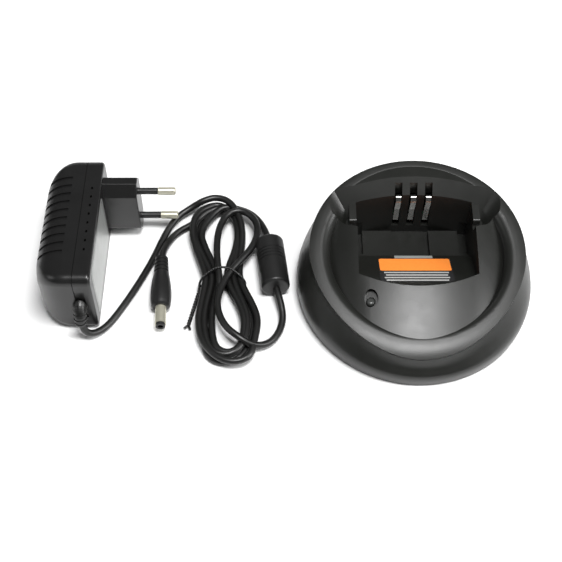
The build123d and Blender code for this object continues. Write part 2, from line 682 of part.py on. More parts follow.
VENT_X, VENT_PITCH, VENT_COUNT, VENT_FAR_Y = -97.8, 5.55, 8, 31.0
RELIEF_X, RELIEF_Z = -100.2, 20.0
with BuildPart() as adapter_front_shell:
    add(adapter_block(PARTING_X, FACE_X, 0))
    fillet(adapter_front_shell.faces().sort_by(Axis.X)[-1].edges(), FACE_EDGE_R)
    chamfer(adapter_front_shell.faces().sort_by(Axis.X)[0].edges(), 0.3)
    add(adapter_block(PARTING_X, FACE_X - SHELL_T, SHELL_T), mode=Mode.SUBTRACT)
    # the plug head, a long hexagon
    with BuildSketch(across(FACE_X - SHELL_T)):
        with BuildLine():
            Polyline(
                (PLUG_Y - 2.2, PLUG_Z + 17.0),
                (PLUG_Y + 2.2, PLUG_Z + 17.0),
                (PLUG_Y + 6.9, PLUG_Z + 11.7),
                (PLUG_Y + 6.9, PLUG_Z - 11.7),
                (PLUG_Y + 2.2, PLUG_Z - 17.0),
                (PLUG_Y - 2.2, PLUG_Z - 17.0),
                (PLUG_Y - 6.9, PLUG_Z - 11.7),
                (PLUG_Y - 6.9, PLUG_Z + 11.7),
                close=True,
            )
        make_face()
        fillet(vertices(), 0.8)
    extrude(amount=HEAD_LENGTH + SHELL_T)
    chamfer(adapter_front_shell.faces().sort_by(Axis.X)[-1].edges(), 0.4)
    with BuildSketch(across(FACE_X - SHELL_T - 1)):
        with Locations((PLUG_Y, PLUG_Z - PIN_SPACING / 2), (PLUG_Y, PLUG_Z + PIN_SPACING / 2)):
            Circle(PIN_NECK_R)
    extrude(amount=HEAD_LENGTH + SHELL_T + 2, mode=Mode.SUBTRACT)
    # vents along both narrow sides
    for low in (-1.0, ADAPTER_H - SHELL_T - 0.5):
        with BuildSketch(Plane.XY.offset(low)):
            with Locations(*[(VENT_X, VENT_FAR_Y - i * VENT_PITCH) for i in range(VENT_COUNT)]):
                RectangleRounded(1.0, 1.6, 0.45)
        extrude(amount=SHELL_T + 1.5, mode=Mode.SUBTRACT)
    # the recess and hole for the lead
    with BuildSketch(rearward(NEAR_Y - 1, x=0)):
        with Locations((-RELIEF_X + 0.7, RELIEF_Z)):
            Rectangle(7.6, 20)
    extrude(amount=2.0, mode=Mode.SUBTRACT)
    with BuildSketch(rearward(NEAR_Y - 1, x=0)):
        with Locations((-RELIEF_X, RELIEF_Z)):
            Circle(1.75)
    extrude(amount=6, mode=Mode.SUBTRACT)
    with BuildSketch(across(PARTING_X - 10)):
        with Locations((MID_Y, ADAPTER_H / 2)):
            Rectangle(200, 100)
    extrude(amount=10, mode=Mode.SUBTRACT)
save(adapter_front_shell.part, "adapter_front_shell")

# ---------------------------------------------------------------- adapter: mains pins
FRONT_X = FACE_X + HEAD_LENGTH
PIN_TIP_X = FRONT_X + PIN_LENGTH
SLEEVE_END_X = FRONT_X + SLEEVE_LENGTH
PIN_PLACES = ((PLUG_Y, PLUG_Z - PIN_SPACING / 2), (PLUG_Y, PLUG_Z + PIN_SPACING / 2))

with BuildPart() as mains_pins:
    with BuildSketch(across(FACE_X - 4.0)):
        with Locations(*PIN_PLACES):
            Circle(PIN_NECK_R)
    extrude(amount=SLEEVE_END_X - FACE_X + 4.0)
    with BuildSketch(across(SLEEVE_END_X)):
        with Locations(*PIN_PLACES):
            Circle(PIN_R)
    extrude(amount=PIN_TIP_X - SLEEVE_END_X)
    fillet(mains_pins.faces().filter_by(Axis.X).sort_by(Axis.X)[-2:].edges(), 1.0)
    chamfer(mains_pins.edges().filter_by(GeomType.CIRCLE).filter_by(
        lambda e: abs(e.center().X - SLEEVE_END_X) < 0.01 and e.radius > PIN_NECK_R + 0.1), 0.3)
save(mains_pins.part, "mains_pins")

with BuildPart() as pin_sleeves:
    with BuildSketch(across(FRONT_X)):
        with Locations(*PIN_PLACES):
            Circle(SLEEVE_R)
            Circle(PIN_NECK_R, mode=Mode.SUBTRACT)
    extrude(amount=SLEEVE_LENGTH)
save(pin_sleeves.part, "pin_sleeves")

# ---------------------------------------------------------------- adapter: board and its parts
ADAPTER_BOARD_X, ADAPTER_BOARD_T = -101.6, 1.6
with BuildPart() as adapter_board:
    with BuildSketch(across(ADAPTER_BOARD_X)):
        with Locations((MID_Y, ADAPTER_H / 2)):
            RectangleRounded(68, 31, 2)
    extrude(amount=ADAPTER_BOARD_T)
save(adapter_board.part, "adapter_board")


def adapter_can(node, y, z, radius, height):
    """A round component that stands on the adapter's board and points to the back shell."""
    with BuildPart() as can:
        with BuildSketch(across(ADAPTER_BOARD_X - height)):
            with Locations((y, z)):
                Circle(radius)
        extrude(amount=height)
        fillet(can.faces().sort_by(Axis.X)[0].edges(), 0.6)
    save(can.part, node)


def adapter_brick(node, y, z, size, foot=0.0):
    """A square component on the adapter's board: sizes along Y, Z and away from the board."""
    with BuildPart() as brick:
        with BuildSketch(across(ADAPTER_BOARD_X - foot - size[2])):
            with Locations((y, z)):
                RectangleRounded(size[0], size[1], 0.6)
        extrude(amount=size[2])
    save(brick.part, node)


adapter_can("input_capacitor", 33.0, 26.0, 5.5, 15.0)
adapter_can("output_capacitor", -14.0, 26.0, 4.0, 13.0)
adapter_can("output_choke", -14.0, 12.0, 4.5, 8.0)
adapter_can("line_fuse", 40.0, 10.5, 3.2, 8.0)
adapter_brick("bridge_rectifier", 29.0, 11.0, (8, 6, 5))
adapter_brick("switch_transistor", 21.5, 19.5, (3, 10, 14))

CORE_Y, CORE_W, CORE_H = 5.0, 19.0, 16.0
with BuildPart() as transformer_core:
    with BuildSketch(across(ADAPTER_BOARD_X - CORE_H)):
        with Locations((CORE_Y, ADAPTER_H / 2)):
            Rectangle(CORE_W, 24)
        with Locations((CORE_Y - CORE_W / 4, ADAPTER_H / 2), (CORE_Y + CORE_W / 4, ADAPTER_H / 2)):
            Rectangle(5.5, 15, mode=Mode.SUBTRACT)
    extrude(amount=CORE_H - 2.0)
save(transformer_core.part, "transformer_core")

with BuildPart() as transformer_winding:
    with BuildSketch(across(ADAPTER_BOARD_X - CORE_H - 0.6)):
        with Locations((CORE_Y, ADAPTER_H / 2)):
            RectangleRounded(14.6, 14.6, 1.0)
            Rectangle(4.0, 15, mode=Mode.SUBTRACT)
    extrude(amount=CORE_H + 0.6)
save(transformer_winding.part, "transformer_winding")

with BuildPart() as adapter_label:
    with BuildSketch(across(FACE_X)):
        with Locations((4.0, ADAPTER_H / 2)):
            RectangleRounded(49, 31, 2)
    extrude(amount=LABEL_T)
save(adapter_label.part, "adapter_label")

# ---------------------------------------------------------------- lead: sizes
CORD_D = 3.5
CORD_AREA = pi * CORD_D**2 / 4


def bend_radii(points):
    """The largest tangent arc at each corner that still leaves straight runs between them."""
    places = [Vector(*p) for p in points]
    radii = []
    for before, corner, after in zip(places, places[1:], places[2:]):
        turn = (corner - before).get_angle(after - corner)
        shorter = min((corner - before).length, (after - corner).length)
        radii.append(0.45 * shorter / tan(radians(turn / 2)))
    return radii


def cord_tube(node, points):
    """A round tube along straight runs joined by tangent arcs."""
    radii = bend_radii(points)
    print(node, "radii", [round(r, 1) for r in radii])
    with BuildPart() as tube:
        with BuildLine() as path:
            FilletPolyline(*points, radius=radii)
        with BuildSketch(Plane(origin=path.line @ 0, z_dir=path.line % 0)):
            Circle(CORD_D / 2)
        sweep(path=path.line)
    run = sum(edge.length for edge in path.edges())
    print(node, "length", round(run, 1), "ratio", round(tube.part.volume / (CORD_AREA * run), 4))
    save(tube.part, node)
    return path.line


# The lead leaves the adapter, joins the hank at its upper left, runs out of it through the
# ferrite, comes back over the hank and leaves it for the DC plug.
ADAPTER_LEAD = (
    (-100.2, -31.6, 11.8),
    (-99.6, -33.0, 7.6),
    (-96.0, -32.8, 3.6),
    (-89.6, -27.4, 2.0),
    (-83.0, -15.5, 1.9),
    (-76.2, -1.0, 1.9),
    (-69.6, 15.5, 1.9),
    (-65.2, 30.0, 2.2),
    (-59.8, 41.5, 3.4),
    (-50.5, 48.0, 4.6),
)
PLUG_LEAD = (
    (-65.0, 12.9, 5.2),
    (-64.7, 18.6, 4.4),
    (-62.9, 25.6, 2.6),
    (-58.8, 32.8, 1.9),
    (-50.6, 38.6, 2.0),
)
FERRITE_TOP_LEAD = (
    (-26.2, 46.0, 5.6),
    (-19.6, 42.6, 5.8),
    (-14.4, 35.6, 6.2),
    (-11.3, 27.6, 7.0),
    (-10.2, 22.5, 7.2),
)
FERRITE_LOW_LEAD = (
    (-6.6, -7.0, 7.2),
    (-4.4, -13.4, 5.6),
    (-2.8, -22.6, 3.0),
    (-5.2, -31.6, 2.4),
    (-10.6, -38.4, 3.0),
    (-18.0, -40.4, 5.0),
)
adapter_path = cord_tube("cord_adapter_run", ADAPTER_LEAD)
plug_path = cord_tube("cord_plug_run", PLUG_LEAD)
top_path = cord_tube("cord_ferrite_top_run", FERRITE_TOP_LEAD)
low_path = cord_tube("cord_ferrite_low_run", FERRITE_LOW_LEAD)

# ---------------------------------------------------------------- lead: hank and its tie
HANK_OUTLINE = (
    (-39.2, 53.6), (-47.6, 49.2), (-51.0, 38.0), (-47.6, 18.0), (-43.6, 0.6), (-45.0, -20.0),
    (-43.0, -38.0), (-34.0, -49.0), (-23.0, -48.4), (-15.4, -38.0), (-17.2, -20.0),
    (-22.8, 0.6), (-19.0, 18.0), (-17.6, 30.0), (-20.8, 42.0), (-29.4, 51.4),
)
HANK_H, TIE_Y, TIE_W, TIE_T = 11.0, 1.4, 1.5, 0.9
with BuildPart() as hank_form:
    with BuildSketch():
        with BuildLine():
            Spline(*HANK_OUTLINE, periodic=True)
        make_face()
    extrude(amount=HANK_H)
    fillet(hank_form.faces().sort_by(Axis.Z)[-1].edges(), 2.6)
    fillet(hank_form.faces().sort_by(Axis.Z)[0].edges(), 1.2)

with BuildPart() as tie_space:
    with BuildSketch(Plane(origin=(-33.2, TIE_Y, HANK_H / 2), x_dir=(1, 0, 0), z_dir=(0, 1, 0))):
        Rectangle(60, 40)
        RectangleRounded(21.0 - 2 * TIE_T, HANK_H - 2 * TIE_T, 2.6, mode=Mode.SUBTRACT)
    extrude(amount=TIE_W / 2, both=True)

with BuildPart() as cord_hank:
    add(hank_form.part)
    add(tie_space.part, mode=Mode.SUBTRACT)
save(cord_hank.part, "cord_hank")

TIE_TAIL_R = 0.8
TIE_TAIL = (
    (-43.4, TIE_Y, 4.6),
    (-46.6, 2.2, 4.4),
    (-48.6, -0.8, 3.4),
    (-47.6, -4.8, 2.2),
    (-46.6, -11.0, 1.2),
    (-47.6, -19.5, 1.0),
    (-50.4, -28.5, 1.0),
)
with BuildPart() as cord_tie:
    with BuildSketch(Plane(origin=(-33.2, TIE_Y, HANK_H / 2), x_dir=(1, 0, 0), z_dir=(0, 1, 0))):
        RectangleRounded(21.0, HANK_H, 3.2)
        RectangleRounded(21.0 - 2 * TIE_T, HANK_H - 2 * TIE_T, 2.6, mode=Mode.SUBTRACT)
    extrude(amount=TIE_W / 2 - 0.05, both=True)
    with BuildLine() as tail_path:
        FilletPolyline(*TIE_TAIL, radius=bend_radii(TIE_TAIL))
    with BuildSketch(Plane(origin=tail_path.line @ 0, z_dir=tail_path.line % 0)):
        Circle(TIE_TAIL_R)
    sweep(path=tail_path.line)
save(cord_tie.part, "cord_tie")

# ---------------------------------------------------------------- lead: strain relief
RELIEF_ROOT_R, RELIEF_TIP_R, RELIEF_RIBS = 3.3, 2.4, 5
relief_end = adapter_path @ 0
with BuildPart() as strain_relief:
    with BuildLine() as relief_path:
        TangentArc(
            (RELIEF_X, NEAR_Y + 1.0, RELIEF_Z), relief_end, tangent=(0, -1, -0.15)
        )
    relief_planes = [
        Plane(origin=relief_path.line @ (i / 4), z_dir=relief_path.line % (i / 4))
        for i in range(5)
    ]
    for i, plane in enumerate(relief_planes):
        with BuildSketch(plane):
            Circle(RELIEF_ROOT_R + (RELIEF_TIP_R - RELIEF_ROOT_R) * i / 4)
    loft()
    for rib in range(RELIEF_RIBS):
        t = (rib + 0.8) / (RELIEF_RIBS + 0.4)
        with BuildSketch(Plane(origin=relief_path.line @ t, z_dir=relief_path.line % t)):
            Circle(RELIEF_ROOT_R + (RELIEF_TIP_R - RELIEF_ROOT_R) * t + 0.4)
        extrude(amount=0.55, both=True)
save(strain_relief.part, "strain_relief")

# ---------------------------------------------------------------- lead: ferrite bead
FERRITE_TOP = top_path @ 1
FERRITE_LOW = low_path @ 0
FERRITE_AXIS = FERRITE_LOW - FERRITE_TOP
FERRITE_LENGTH = FERRITE_AXIS.length
FERRITE_R = 7.2
FERRITE_PLANE = Plane(origin=FERRITE_TOP, x_dir=(0, 0, 1), z_dir=FERRITE_AXIS)

with BuildPart() as ferrite_cover:
    with BuildSketch(FERRITE_PLANE):
        Circle(FERRITE_R)
    extrude(amount=FERRITE_LENGTH)
    fillet(ferrite_cover.faces().filter_by(GeomType.PLANE).edges(), 1.4)
    for ring in range(4):
        with BuildSketch(FERRITE_PLANE.offset(8.0 + 1.9 * ring)):
            Circle(FERRITE_R + 1)
            Circle(FERRITE_R - 0.25, mode=Mode.SUBTRACT)
        extrude(amount=0.7, mode=Mode.SUBTRACT)
    with BuildSketch(FERRITE_PLANE.offset(1.4)):
        Circle(FERRITE_R - 1.4)
    extrude(amount=FERRITE_LENGTH - 2.8, mode=Mode.SUBTRACT)
save(ferrite_cover.part, "ferrite_cover")

with BuildPart() as ferrite_core:
    with BuildSketch(FERRITE_PLANE.offset(1.4)):
        Circle(FERRITE_R - 1.4)
        Circle(CORD_D / 2, mode=Mode.SUBTRACT)
    extrude(amount=FERRITE_LENGTH - 2.8)
save(ferrite_core.part, "ferrite_core")

# ---------------------------------------------------------------- lead: DC plug
BOOT_START = plug_path @ 0
BOOT_AXIS = Vector(0.049, -1.0, 0.0).normalized()
BOOT_LENGTH, BOOT_R, BOOT_NECK_R = 30.8, 5.2, 3.3
BARREL_R, BARREL_LENGTH, BARREL_BORE_R = 2.75, 9.8, 1.05
BOOT_PLANE = Plane(origin=BOOT_START, x_dir=(0, 0, 1), z_dir=BOOT_AXIS)

with BuildPart() as dc_plug_boot:
    with BuildSketch(Plane(origin=BOOT_START, x_dir=BOOT_AXIS, z_dir=(0, 0, 1))):
        with BuildLine():
            neck = Polyline((0, 0), (0, BOOT_NECK_R), (9.6, BOOT_NECK_R + 0.5))
            flare = Spline(neck @ 1, (14.5, 4.6), (21.0, BOOT_R), (28.4, BOOT_R - 0.3))
            Polyline(flare @ 1, (BOOT_LENGTH - 0.8, BOOT_R - 0.6), (BOOT_LENGTH, BOOT_R - 1.4),
                     (BOOT_LENGTH, 0), (0, 0))
        make_face()
    revolve(axis=Axis(BOOT_START, BOOT_AXIS))
    for groove in range(4):
        with BuildSketch(BOOT_PLANE.offset(1.8 + 2.3 * groove)):
            Circle(BOOT_R + 2)
            Circle(BOOT_NECK_R - 0.35 + 0.1 * groove, mode=Mode.SUBTRACT)
        extrude(amount=0.8, mode=Mode.SUBTRACT)
    with BuildSketch(BOOT_PLANE.offset(BOOT_LENGTH - 6)):
        Circle(BARREL_R - 0.4)
    extrude(amount=8, mode=Mode.SUBTRACT)
save(dc_plug_boot.part, "dc_plug_boot")

with BuildPart() as dc_plug_barrel:
    with BuildSketch(BOOT_PLANE.offset(BOOT_LENGTH)):
        Circle(BARREL_R)
    extrude(amount=BARREL_LENGTH)
    with BuildSketch(BOOT_PLANE.offset(BOOT_LENGTH - 6)):
        Circle(BARREL_R - 0.4)
    extrude(amount=6)
    with BuildSketch(BOOT_PLANE.offset(BOOT_LENGTH - 6)):
        Circle(BARREL_R - 0.7)
    extrude(amount=6 + BARREL_LENGTH, mode=Mode.SUBTRACT)
save(dc_plug_barrel.part, "dc_plug_barrel")

with BuildPart() as dc_plug_insulator:
    with BuildSketch(BOOT_PLANE.offset(BOOT_LENGTH - 6)):
        Circle(BARREL_R - 0.7)
        Circle(BARREL_BORE_R + 0.35, mode=Mode.SUBTRACT)
    extrude(amount=6 + BARREL_LENGTH)
    with BuildSketch(BOOT_PLANE.offset(BOOT_LENGTH + BARREL_LENGTH)):
        Circle(BARREL_R - 0.4)
        Circle(BARREL_BORE_R + 0.35, mode=Mode.SUBTRACT)
    extrude(amount=1.6)
save(dc_plug_insulator.part, "dc_plug_insulator")

with BuildPart() as dc_plug_contact:
    with BuildSketch(BOOT_PLANE.offset(BOOT_LENGTH - 6)):
        Circle(BARREL_BORE_R + 0.35)
        Circle(BARREL_BORE_R, mode=Mode.SUBTRACT)
    extrude(amount=5 + BARREL_LENGTH)
save(dc_plug_contact.part, "dc_plug_contact")
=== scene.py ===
"""Looks of a round desktop charging cradle with its plug-in adapter, tied lead and DC plug."""
import json
from math import cos, pi, radians, sin

import bpy
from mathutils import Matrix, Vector


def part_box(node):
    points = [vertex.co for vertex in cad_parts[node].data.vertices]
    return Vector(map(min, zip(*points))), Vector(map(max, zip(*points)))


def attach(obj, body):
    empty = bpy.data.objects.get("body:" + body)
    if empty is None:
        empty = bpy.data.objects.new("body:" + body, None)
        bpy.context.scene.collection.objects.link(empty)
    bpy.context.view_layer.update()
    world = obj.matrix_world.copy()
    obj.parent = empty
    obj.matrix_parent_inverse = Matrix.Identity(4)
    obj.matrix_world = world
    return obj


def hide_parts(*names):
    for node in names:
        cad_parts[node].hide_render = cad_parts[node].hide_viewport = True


MM = 0.001
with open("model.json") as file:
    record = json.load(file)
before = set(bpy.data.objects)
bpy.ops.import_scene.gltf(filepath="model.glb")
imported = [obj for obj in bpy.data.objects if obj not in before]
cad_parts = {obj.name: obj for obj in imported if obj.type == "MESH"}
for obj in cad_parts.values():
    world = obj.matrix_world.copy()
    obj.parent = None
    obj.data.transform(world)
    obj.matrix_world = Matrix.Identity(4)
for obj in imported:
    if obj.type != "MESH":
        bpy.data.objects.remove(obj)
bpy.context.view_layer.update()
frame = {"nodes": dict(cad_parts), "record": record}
nodes = frame["nodes"]
scene = bpy.context.scene


# ------------------------------------------------------------------ camera
def aim(obj, target):
    """Point an object's -Z at a target, with +Y up in its own view."""
    direction = Vector(target) - obj.location
    obj.rotation_euler = direction.to_track_quat("-Z", "Y").to_euler()


CAMERA_RANGE, CAMERA_TILT = 560 * MM, radians(53)
SENSOR_WIDTH, IMAGE_WIDTH, FOCAL_IN_IMAGE = 36, 562, 1100
LOOK_AT = Vector((-4.05 * MM, 2.6 * MM, 0.0))
camera_data = bpy.data.cameras.new("camera")
camera_data.sensor_width = SENSOR_WIDTH
camera_data.lens = SENSOR_WIDTH * FOCAL_IN_IMAGE / IMAGE_WIDTH
camera_data.clip_end = 20
camera = bpy.data.objects.new("camera", camera_data)
scene.collection.objects.link(camera)
camera.location = LOOK_AT + CAMERA_RANGE * Vector((0, -cos(CAMERA_TILT), sin(CAMERA_TILT)))
aim(camera, LOOK_AT)
scene.camera = camera

# ------------------------------------------------------------------ cord
CORD_D = 3.5
TIE_Y = 1.4


def upper_lobe(left, right, far_left, far_right, crown, z):
    """Half a turn over the hank's upper loop, from its right strand at the tie to its left one."""
    width = far_right - far_left
    cx, cy, cz = crown
    return [
        (right, TIE_Y, z),
        (right + 0.30 * (far_right - right), 9.5, z),
        (right + 0.85 * (far_right - right), 19.0, z),
        (far_right + 0.02 * width, 29.0, (2 * z + cz) / 3),
        (far_right - 0.05 * width, cy - 0.48 * width, (z + 2 * cz) / 3),
        (cx + 0.30 * width, cy - 0.10 * width, cz),
        (cx, cy + 0.6, cz),
        (cx - 0.27 * width, cy - 0.08 * width, cz),
        (far_left + 0.05 * width, cy - 0.38 * width, (z + 2 * cz) / 3),
        (far_left - 0.02 * width, 30.5, (2 * z + cz) / 3),
        (left + 0.72 * (far_left - left), 19.5, z),
        (left + 0.30 * (far_left - left), 9.5, z),
    ]


def lower_lobe(left, right, far_left, far_right, trough, z):
    """Half a turn round the hank's lower loop, from its left strand at the tie to its right one."""
    width = far_right - far_left
    cx, cy, cz = trough
    return [
        (left, TIE_Y, z),
        (left + 0.30 * (far_left - left), -7.0, z),
        (left + 0.85 * (far_left - left), -16.0, z),
        (far_left - 0.02 * width, -25.5, (2 * z + cz) / 3),
        (far_left + 0.05 * width, cy + 0.42 * width, (z + 2 * cz) / 3),
        (cx - 0.30 * width, cy + 0.10 * width, cz),
        (cx, cy - 0.6, cz),
        (cx + 0.29 * width, cy + 0.09 * width, cz),
        (far_right - 0.05 * width, cy + 0.40 * width, (z + 2 * cz) / 3),
        (far_right + 0.02 * width, -25.5, (2 * z + cz) / 3),
        (right + 0.75 * (far_right - right), -16.0, z),
        (right + 0.30 * (far_right - right), -7.0, z),
    ]


ADAPTER_LEAD = [
    (-100.2, -31.6, 11.8),
    (-99.6, -33.0, 7.6),
    (-96.0, -32.8, 3.6),
    (-89.6, -27.4, 2.0),
    (-83.0, -15.5, 1.9),
    (-76.2, -1.0, 1.9),
    (-69.6, 15.5, 1.9),
    (-65.2, 30.0, 2.2),
    (-59.8, 41.5, 3.4),
    (-51.5, 47.6, 4.8),
]
FERRITE_TOP_LEAD = [
    (-26.2, 46.0, 5.6),
    (-19.6, 42.6, 5.8),
    (-14.4, 35.6, 6.2),
    (-11.3, 27.6, 6.6),
    (-10.2, 22.5, 6.6),
]
FERRITE_LOW_LEAD = [
    (-6.6, -7.0, 6.6),
    (-4.4, -13.4, 5.6),
    (-2.8, -22.6, 3.0),
    (-5.2, -31.6, 2.4),
    (-10.6, -38.4, 3.0),
    (-18.0, -40.4, 5.6),
]
PLUG_LEAD = [
    (-50.6, 38.6, 2.0),
    (-58.8, 32.8, 1.9),
    (-62.9, 25.6, 2.6),
    (-64.7, 18.6, 4.4),
    (-65.0, 12.9, 5.2),
]

# turns wound clockwise from the adapter: left and right strand at the tie, the two widest
# places and the crown of the upper loop, then the same of the lower one
OUTER_TURNS = (
    ((-41.8, -25.2), (-50.0, -24.4, (-38.4, 51.6, 8.3)), (-44.2, -15.6, (-27.0, -49.6, 5.4))),
    ((-38.5, -28.4), (-49.4, -26.2, (-39.2, 49.4, 5.0)), (-41.6, -20.4, (-31.2, -45.2, 5.2))),
    ((-35.2, -31.7), (-45.9, -26.7, (-36.4, 47.6, 5.2)), (-37.8, -22.0, (-29.8, -44.0, 5.2))),
)
OUTER_Z = (5.3, 5.2, 5.1)
# turns wound the other way, under them, that end at the DC plug
INNER_TURNS = (
    ((-40.0, -27.0), (-47.2, -24.4, (-38.6, 50.8, 1.9)), (-43.6, -18.2, (-31.4, -47.8, 1.9))),
    ((-34.6, -32.2), (-44.6, -26.2, (-35.3, 46.4, 1.9)), (-41.1, -21.0, (-31.0, -46.2, 1.9))),
)
INNER_Z = (1.9, 1.9)

route = list(ADAPTER_LEAD)
for turn, ((left, right), upper, lower) in enumerate(OUTER_TURNS):
    z = OUTER_Z[turn]
    over = upper_lobe(left, right, *upper, z)
    under = lower_lobe(left, right, *lower, z)
    route += over[6::-1] if turn else over[7::-1]
    route += under[:0:-1]
    route.append((left, TIE_Y, z))
    if turn + 1 < len(OUTER_TURNS):
        route += over[:7:-1]
    else:
        route += over[:8:-1]
route += [(-39.5, 43.6, 5.4), (-33.5, 47.8, 5.6)]
route += FERRITE_TOP_LEAD + FERRITE_LOW_LEAD
route += [
    (-24.4, -37.6, 8.6),
    (-30.8, -32.0, 8.9),
    (-34.6, -24.0, 8.9),
    (-35.6, -15.5, 8.9),
    (-33.6, -6.6, 8.7),
    (-30.2, TIE_Y, 8.5),
    (-25.4, 8.0, 8.7),
    (-20.4, 14.8, 8.8),
    (-17.0, 22.0, 8.6),
    (-15.8, 30.0, 8.6),
    (-18.2, 37.6, 8.7),
    (-24.8, 42.8, 8.8),
    (-32.2, 40.4, 8.8),
    (-35.8, 31.8, 8.8),
    (-36.9, 22.0, 8.8),
    (-36.6, 11.5, 8.7),
    (-35.2, TIE_Y, 8.5),
    (-34.6, -8.0, 7.4),
    (-36.4, -17.0, 5.4),
    (-39.8, -27.0, 3.0),
    (-42.2, -36.0, 2.0),
]
for turn, ((left, right), upper, lower) in enumerate(INNER_TURNS):
    z = INNER_Z[turn]
    under = lower_lobe(left, right, *lower, z)
    over = upper_lobe(left, right, *upper, z)
    route += under[5:] if turn == 0 else under
    route += over if turn + 1 < len(INNER_TURNS) else over[:8]
route += PLUG_LEAD

curve = bpy.data.curves.new("lead", "CURVE")
curve.dimensions = "3D"
spline = curve.splines.new("NURBS")
spline.points.add(len(route) - 1)
for point, place in zip(spline.points, route):
    point.co = (*(v * MM for v in place), 1)
    # a curve's box is padded by its points' radii, so these are small and the bevel is in mm
    point.radius = MM
spline.order_u = 3
spline.use_endpoint_u = True
spline.resolution_u = 8
curve.bevel_depth = CORD_D / 2
curve.bevel_resolution = 4
curve.use_fill_caps = True
lead = bpy.data.objects.new("lead", curve)
scene.collection.objects.link(lead)


def curve_length(obj):
    """The length of a curve's own line, in metres."""
    bevel = obj.data.bevel_depth
    obj.data.bevel_depth = 0
    bpy.context.view_layer.update()
    line = bpy.data.meshes.new_from_object(obj.evaluated_get(bpy.context.evaluated_depsgraph_get()))
    ends = [[line.vertices[end].co for end in edge.vertices] for edge in line.edges]
    total = sum((first - second).length for first, second in ends)
    bpy.data.meshes.remove(line)
    obj.data.bevel_depth = bevel
    return total


print("lead length", round(curve_length(lead), 4))

# the twist tie: one wire round the waist, and its two ends twisted into a tail
TIE_ROUND = (
    (-45.0, -6.2, 3.4), (-45.4, -3.4, 5.4), (-43.2, -0.6, 7.8), (-38.2, 2.6, 10.3), (-33.4, 3.4, 10.9),
    (-28.6, 2.4, 10.4), (-24.0, -0.4, 8.0), (-21.6, -2.8, 5.2), (-22.8, -2.4, 1.9), (-27.0, 0.6, 0.7),
    (-33.4, 1.4, 0.7), (-39.6, 0.8, 0.7), (-43.4, -1.6, 1.6), (-45.8, -3.4, 3.6), (-45.2, -6.2, 3.0),
)
TAIL_START, TAIL_END = Vector((-45.1, -6.2, 3.2)), Vector((-50.2, -27.8, 1.25))
TAIL_TWISTS, TAIL_STEPS, TIE_WIRE_D = 7, 84, 1.15
TWIST_R, FRAY_START, FRAY_SPREAD = 0.5, 0.93, 1.1


def add_spline(data, points):
    """One open smooth line through a list of points in millimetres."""
    line = data.splines.new("NURBS")
    line.points.add(len(points) - 1)
    for point, place in zip(line.points, points):
        point.co = (*(v * MM for v in place), 1)
        point.radius = MM
    line.order_u = 3
    line.use_endpoint_u = True
    line.resolution_u = 6


tie_curve = bpy.data.curves.new("twist_tie", "CURVE")
tie_curve.dimensions = "3D"
add_spline(tie_curve, TIE_ROUND)
tail_way = TAIL_END - TAIL_START
across_way = tail_way.cross(Vector((0, 0, 1))).normalized()
upward_way = across_way.cross(tail_way).normalized()
for half_turn in (0, pi):
    strand = []
    for step in range(TAIL_STEPS + 1):
        t = step / TAIL_STEPS
        angle = 2 * pi * TAIL_TWISTS * min(t, FRAY_START) + half_turn
        spread = TWIST_R + FRAY_SPREAD * max(0.0, t - FRAY_START) / (1 - FRAY_START)
        strand.append(
            TAIL_START
            + tail_way * t
            + across_way * cos(angle) * spread
            + upward_way * sin(angle) * TWIST_R
        )
    add_spline(tie_curve, strand)
tie_curve.bevel_depth = TIE_WIRE_D / 2
tie_curve.bevel_resolution = 3
tie_curve.use_fill_caps = True
tie = bpy.data.objects.new("twist_tie", tie_curve)
scene.collection.objects.link(tie)
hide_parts("cord_tie")
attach(tie, "adapter")
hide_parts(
    "cord_adapter_run", "cord_plug_run", "cord_ferrite_top_run", "cord_ferrite_low_run", "cord_hank"
)
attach(lead, "adapter")


